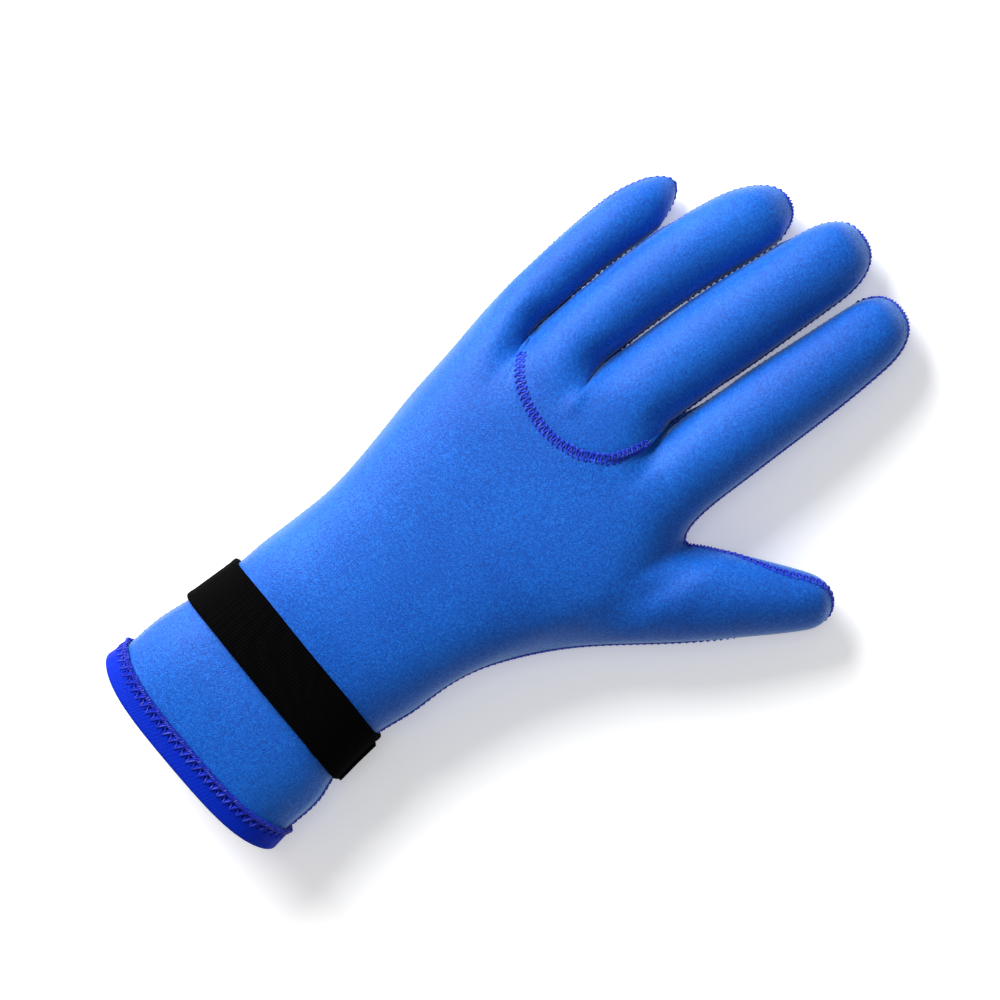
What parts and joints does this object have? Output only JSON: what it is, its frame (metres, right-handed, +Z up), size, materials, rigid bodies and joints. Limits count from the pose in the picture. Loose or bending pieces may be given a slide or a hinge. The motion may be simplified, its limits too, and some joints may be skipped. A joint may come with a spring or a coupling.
{
  "type": "five-finger diving glove",
  "caption": "Left-hand neoprene diving glove lying palm down, with separate fingers, a flared bound cuff and a webbing strap closed round the wrist.",
  "frame": {"origin": "middle of the glove's extent in plan, on the surface that it lies on", "axes": "+Y along the hand towards the fingertips, +X across it towards the thumb, +Z up out of the back of the hand"},
  "size_m": [0.1558, 0.2876, 0.0386],
  "materials": {
    "neoprene_blue": "blue knit jersey on both faces of 3 mm neoprene",
    "overlock_thread": "dense overlocked thread",
    "webbing": "black woven webbing"
  },
  "bodies": {
    "root": {"back_panel": "neoprene_blue", "finger_panel": "neoprene_blue", "palm_panel": "neoprene_blue", "cuff_binding": "overlock_thread", "wrist_strap": "webbing", "strap_end": "webbing"}
  },
  "joints": []
}
